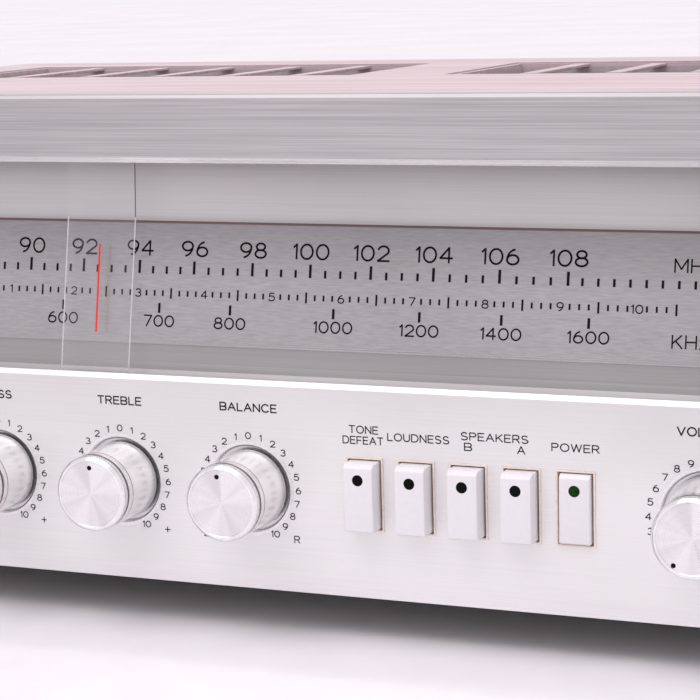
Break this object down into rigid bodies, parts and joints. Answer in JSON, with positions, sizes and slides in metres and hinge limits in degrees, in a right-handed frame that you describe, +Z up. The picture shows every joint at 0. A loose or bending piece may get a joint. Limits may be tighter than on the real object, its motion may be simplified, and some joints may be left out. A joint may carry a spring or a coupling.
{
  "type": "stereo receiver",
  "caption": "Silver-fronted stereo receiver with a leaning tuning dial, sliding clear cursor, turned knobs, push keys and a walnut case.",
  "frame": {"origin": "middle of the overall outline, on the surface the feet stand on", "axes": "+Z up, -Y towards the front panel, +X to the right as seen from the front"},
  "size_m": [0.44, 0.3544, 0.1493],
  "materials": {
    "brushed_fascia": "horizontally brushed",
    "satin_fascia": "fine satin",
    "cheek_metal": "brushed",
    "recess_metal": "smooth satin",
    "dial_metal": "brushed and lacquered, printed scales",
    "ring_metal": "turned",
    "bezel_plastic": "satin",
    "knob_metal": "turned",
    "shaft_steel": "ground",
    "pot_metal": "zinc plated",
    "button_plastic": "satin silver white",
    "dark_plastic": "matt",
    "jack_metal": "nickel plated",
    "clear_acrylic": "clear",
    "brass": "turned",
    "white_nylon": "moulded",
    "cord_fibre": "braided",
    "can_metal": "dull",
    "meter_white": "matt",
    "meter_glass": "clear",
    "needle_black": "matt",
    "chassis_steel": "zinc plated",
    "rear_paint": "black semi-matt",
    "foot_rubber": "matt",
    "screw_steel": "black oxide",
    "case_wood": "walnut veneer, satin",
    "grille_wood": "walnut pattern over steel",
    "transformer_paint": "varnished laminations",
    "board_laminate": "phenolic laminate",
    "heatsink_black": "black anodised",
    "capacitor_sleeve": "shrink sleeve"
  },
  "bodies": {
    "chassis": {"hood": "brushed_fascia", "lower_panel": "satin_fascia", "end_cheeks": "cheek_metal", "recess_panel": "recess_metal", "dial_plate": "dial_metal", "knob_rings": "ring_metal", "button_bezels": "bezel_plastic", "pointer_rail": "shaft_steel", "control_pots": "pot_metal", "switch_banks": "dark_plastic", "headphone_jack": "jack_metal", "dial_cord": "cord_fibre", "tuning_capacitor": "can_metal", "meter_cases": "meter_white", "meter_lenses": "meter_glass", "base_pan": "chassis_steel", "front_subpanel": "chassis_steel", "rear_panel": "rear_paint", "feet": "foot_rubber", "screws": "screw_steel", "case_top_board": "case_wood", "case_side_boards": "case_wood", "vent_grilles": "grille_wood", "transformer": "transformer_paint", "circuit_boards": "board_laminate", "heatsink": "heatsink_black", "filter_capacitors": "capacitor_sleeve", "phono_jacks": "jack_metal", "speaker_terminals": "dark_plastic", "antenna_terminals": "dark_plastic", "antenna_bracket": "dark_plastic", "cord_gland": "foot_rubber"},
    "tuning": {"tuning_knob": "knob_metal", "tuning_shaft": "shaft_steel", "flywheel": "brass"},
    "pointer": {"cursor": "clear_acrylic", "pointer_carriage": "dark_plastic"},
    "drum": {"dial_drum": "white_nylon"},
    "left_pulley": {"pulley_left": "white_nylon"},
    "right_pulley": {"pulley_right": "white_nylon"},
    "signal_pointer": {"signal_needle": "needle_black"},
    "tuning_pointer": {"tuning_needle": "needle_black"},
    "aerial": {"ferrite_antenna": "dark_plastic"},
    "bass_control": {"bass_knob": "knob_metal", "bass_shaft": "shaft_steel"},
    "treble_control": {"treble_knob": "knob_metal", "treble_shaft": "shaft_steel"},
    "balance_control": {"balance_knob": "knob_metal", "balance_shaft": "shaft_steel"},
    "selector_control": {"selector_knob": "knob_metal", "selector_shaft": "shaft_steel"},
    "volume_control": {"volume_knob": "knob_metal", "volume_shaft": "shaft_steel"},
    "tone_defeat_key": {"tone_defeat_button": "button_plastic"},
    "loudness_key": {"loudness_button": "button_plastic"},
    "speakers_b_key": {"speakers_b_button": "button_plastic"},
    "speakers_a_key": {"speakers_a_button": "button_plastic"},
    "power_key": {"power_button": "button_plastic"},
    "tape_key": {"tape_button": "button_plastic"},
    "mode_key": {"mode_button": "button_plastic"}
  },
  "joints": [
    {"name": "bass_turn", "type": "hinge", "parent": "chassis", "child": "bass_control", "pos_m": [-0.0496, -0.1575, 0.0407], "axis": [0, 1, 0], "range_deg": [-150, 150]},
    {"name": "treble_turn", "type": "hinge", "parent": "chassis", "child": "treble_control", "pos_m": [-0.0096, -0.1575, 0.0407], "axis": [0, 1, 0], "range_deg": [-150, 150]},
    {"name": "balance_turn", "type": "hinge", "parent": "chassis", "child": "balance_control", "pos_m": [0.0304, -0.1575, 0.0407], "axis": [0, 1, 0], "range_deg": [-150, 150]},
    {"name": "selector_turn", "type": "hinge", "parent": "chassis", "child": "selector_control", "pos_m": [-0.142, -0.1575, 0.0407], "axis": [0, 1, 0], "range_deg": [-30, 60]},
    {"name": "volume_turn", "type": "hinge", "parent": "chassis", "child": "volume_control", "pos_m": [0.1598, -0.1575, 0.0407], "axis": [0, 1, 0], "range_deg": [0, 300]},
    {"name": "tuning_turn", "type": "hinge", "parent": "chassis", "child": "tuning", "pos_m": [0.1845, -0.1575, 0.1002], "axis": [0, 1, 0], "range_deg": [-474, 1496]},
    {"name": "pointer_slide", "type": "slide", "parent": "chassis", "child": "pointer", "axis": [1, 0, 0], "range_m": [-0.0452, 0.1422]},
    {"name": "drum_turn", "type": "hinge", "parent": "chassis", "child": "drum", "pos_m": [-0.06, -0.1315, 0.0902], "axis": [0, 1, 0], "range_deg": [-80.5, 251.9]},
    {"name": "left_pulley_turn", "type": "hinge", "parent": "chassis", "child": "left_pulley", "pos_m": [-0.195, -0.1315, 0.1248], "axis": [0, 1, 0], "range_deg": [-475, 1497]},
    {"name": "right_pulley_turn", "type": "hinge", "parent": "chassis", "child": "right_pulley", "pos_m": [0.195, -0.1315, 0.1248], "axis": [0, 1, 0], "range_deg": [-475, 1497]},
    {"name": "signal_needle_turn", "type": "hinge", "parent": "chassis", "child": "signal_pointer", "pos_m": [-0.18, -0.14298, 0.0867], "axis": [0, 0.9816, -0.1908], "range_deg": [0, 80], "stiffness_Nm_per_rad": 0.0001},
    {"name": "tuning_needle_turn", "type": "hinge", "parent": "chassis", "child": "tuning_pointer", "pos_m": [-0.128, -0.14298, 0.0867], "axis": [0, 0.9816, -0.1908], "range_deg": [-40, 40], "stiffness_Nm_per_rad": 0.0001},
    {"name": "tone_defeat_press", "type": "slide", "parent": "chassis", "child": "tone_defeat_key", "axis": [0, 1, 0], "range_m": [0, 0.004], "stiffness_N_per_m": 150},
    {"name": "loudness_press", "type": "slide", "parent": "chassis", "child": "loudness_key", "axis": [0, 1, 0], "range_m": [0, 0.004], "stiffness_N_per_m": 150},
    {"name": "speakers_b_press", "type": "slide", "parent": "chassis", "child": "speakers_b_key", "axis": [0, 1, 0], "range_m": [0, 0.004], "stiffness_N_per_m": 150},
    {"name": "speakers_a_press", "type": "slide", "parent": "chassis", "child": "speakers_a_key", "axis": [0, 1, 0], "range_m": [0, 0.004], "stiffness_N_per_m": 150},
    {"name": "tape_press", "type": "slide", "parent": "chassis", "child": "tape_key", "axis": [0, 1, 0], "range_m": [0, 0.004], "stiffness_N_per_m": 150},
    {"name": "mode_press", "type": "slide", "parent": "chassis", "child": "mode_key", "axis": [0, 1, 0], "range_m": [0, 0.004], "stiffness_N_per_m": 150},
    {"name": "power_release", "type": "slide", "parent": "chassis", "child": "power_key", "axis": [0, 1, 0], "range_m": [-0.004, 0]},
    {"name": "aerial_swing", "type": "hinge", "parent": "chassis", "child": "aerial", "pos_m": [0.07, 0.1722, 0.1142], "axis": [0, 0, -1], "range_deg": [0, 100]}
  ],
  "couplings": [
    {"joint": "pointer_slide", "follows": "tuning_turn", "m_per_rad": 0.00544},
    {"joint": "drum_turn", "follows": "tuning_turn", "ratio": 0.16769},
    {"joint": "left_pulley_turn", "follows": "tuning_turn", "ratio": 1},
    {"joint": "right_pulley_turn", "follows": "tuning_turn", "ratio": 1}
  ]
}
